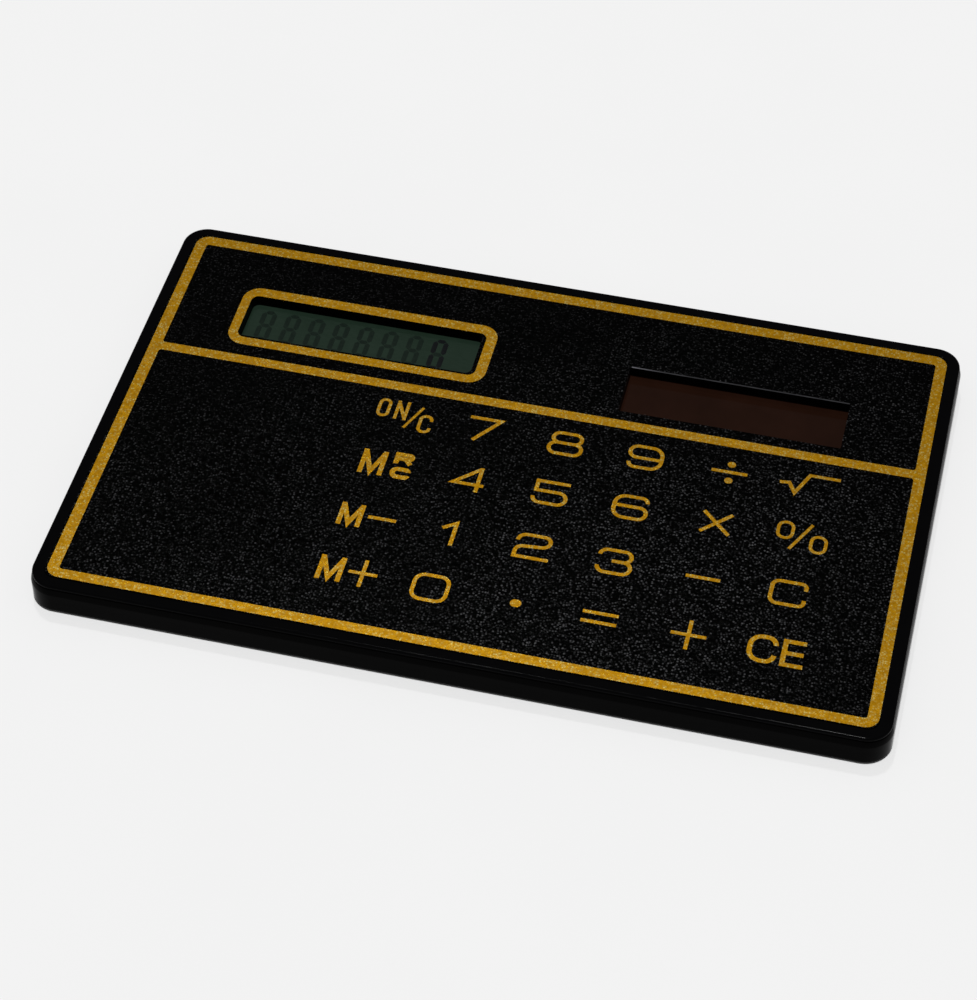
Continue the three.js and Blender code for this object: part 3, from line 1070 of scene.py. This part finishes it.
def key_pad(name):
    """The pad under a key: its round contact, its flange and the stem through the casing."""
    x, y = key_centre(name)
    contact = (x - CONTACT_RADIUS, x + CONTACT_RADIUS, y - CONTACT_RADIUS, y + CONTACT_RADIUS)
    stem = key_stem(name)
    flange = grow(stem, FLANGE_REACH)
    flange_top = CASING_BOTTOM - OVERLAP
    top = FILM_SEAT - CELL_SAG - PAD_GAP
    profile = (
        (grow(contact, -CONTACT_EDGE), CONTACT_RADIUS - CONTACT_EDGE, CONTACT_BOTTOM),
        (contact, CONTACT_RADIUS, CONTACT_BOTTOM + CONTACT_EDGE),
        (contact, CONTACT_RADIUS, FLANGE_BOTTOM),
        (grow(flange, -PAD_EDGE), FLANGE_RADIUS - PAD_EDGE, FLANGE_BOTTOM),
        (flange, FLANGE_RADIUS, FLANGE_BOTTOM + PAD_EDGE),
        (flange, FLANGE_RADIUS, flange_top - PAD_EDGE),
        (grow(flange, -PAD_EDGE), FLANGE_RADIUS - PAD_EDGE, flange_top),
        (stem, STEM_RADIUS, flange_top),
        (stem, STEM_RADIUS, top - PAD_EDGE),
        (grow(stem, -STEM_BEVEL), STEM_RADIUS - STEM_BEVEL, top - STEM_BEVEL),
        (grow(stem, -PAD_EDGE), STEM_RADIUS - PAD_EDGE, top),
    )
    rings = [[(px, py, z) for px, py in rounded(area, radius, 6)] for area, radius, z in profile]
    return loft(name + "_pad", rings)


# ---- Stage -------------------------------------------------------------------------------------

FOCAL = 103.9
DISTANCE = 291
AZIMUTH = 13.6
ELEVATION = 47.18
TARGET = (-1.0, -5.68)

FLOOR_HALF = 1500
FLOOR_RADIUS = 200
FLOOR_BOTTOM = -2
FLOOR_TOP = -0.01

SURROUNDINGS = 0.13
OVERHEAD = 2.57
OVERHEAD_ANGLE = 4
GLINT = 0.28
GLINT_ANGLE = 3
GLINT_FROM = (-0.16, 0.42, 0.89)


def camera():
    """A level camera that looks at a point on the face."""
    turn = math.radians(AZIMUTH)
    lift = math.radians(ELEVATION)
    back = Vector(
        (math.sin(turn) * math.cos(lift), -math.cos(turn) * math.cos(lift), math.sin(lift))
    )
    target = Vector((*TARGET, FILM_TOP)) * MM
    data = bpy.data.cameras.new("camera")
    data.lens = FOCAL
    data.sensor_width = 36
    data.clip_start = 0.01
    made = bpy.data.objects.new("camera", data)
    made.location = target + back * DISTANCE * MM
    made.rotation_euler = back.to_track_quat("Z", "Y").to_euler()
    bpy.context.scene.collection.objects.link(made)
    bpy.context.scene.camera = made


def sun(name, towards, strength, angle):
    """Parallel light that comes from a direction, as wide as an angle in degrees."""
    data = bpy.data.lights.new(name, "SUN")
    data.energy = strength
    data.angle = math.radians(angle)
    made = bpy.data.objects.new(name, data)
    made.rotation_euler = Vector(towards).to_track_quat("Z", "Y").to_euler()
    bpy.context.scene.collection.objects.link(made)


def floor():
    """A pale floor, just under the object."""
    area = (-FLOOR_HALF, FLOOR_HALF, -FLOOR_HALF, FLOOR_HALF)
    outline = rounded(area, FLOOR_RADIUS, 6)
    made = loft("floor", [[(x, y, z) for x, y in outline] for z in (FLOOR_BOTTOM, FLOOR_TOP)])
    ground, tree, shader, where = surface("pale_floor", Specular_IOR_Level=0.1)
    speck = noise(tree, where, 40, 3.0)
    pale = blend_colour(tree, speck, (0.86, 0.86, 0.86), (0.88, 0.88, 0.88))
    link(tree, pale, shader, "Base Color")
    link(tree, remap(tree, speck, 0.3, 0.7, 0.85, 0.95), shader, "Roughness")
    made.data.materials.append(ground)


def studio():
    """Even dim surroundings, light from straight above, and a weak one that the gold mirrors."""
    world = bpy.data.worlds.new("studio")
    bpy.context.scene.world = world
    world.use_nodes = True
    background = world.node_tree.nodes["Background"]
    background.inputs["Color"].default_value = (1, 1, 1, 1)
    background.inputs["Strength"].default_value = SURROUNDINGS
    sun("overhead_light", (0, 0, 1), OVERHEAD, OVERHEAD_ANGLE)
    sun("glint_light", GLINT_FROM, GLINT, GLINT_ANGLE)
    bpy.context.scene.view_settings.view_transform = "Standard"


# ---- Putting it together -----------------------------------------------------------------------


def finish(made, material, body, replaced=()):
    """Gives a piece its material and body, and hides the CAD nodes that it stands for."""
    made.data.materials.clear()
    made.data.materials.append(material)
    if "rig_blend" not in made:
        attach(made, body)
    if replaced:
        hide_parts(*replaced)


camera()
floor()
studio()

casing = front_casing()
shade(casing)
finish(casing, RIM, CASE, ["front_casing"])
cover = rear_cover()
shade(cover)
finish(cover, COVER_BLACK_WITH_PAINTED_SHADE, CASE, ["rear_cover"])
finish(face_film(), FILM, CASE, ["face_film"])
# The bead carries the painted highlight along the far edge of the solar window.
finish(window_bead(), painted_edge_highlight_material(), CASE)
finish(border(), GOLD, CASE)
finish(display_frame(), GOLD, CASE)
for key in KEY_NODES:
    finish(key_cell(key), FILM, key, [key])
    finish(legend(key), GOLD, key)
    finish(key_pad(key), RUBBER, key)
ghost, nought = display_digits()
finish(ghost, GHOST, CASE)
finish(nought, LIT, CASE)

for name, material in NODE_MATERIALS.items():
    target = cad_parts[name]
    for slot in target.material_slots:
        slot.material = material
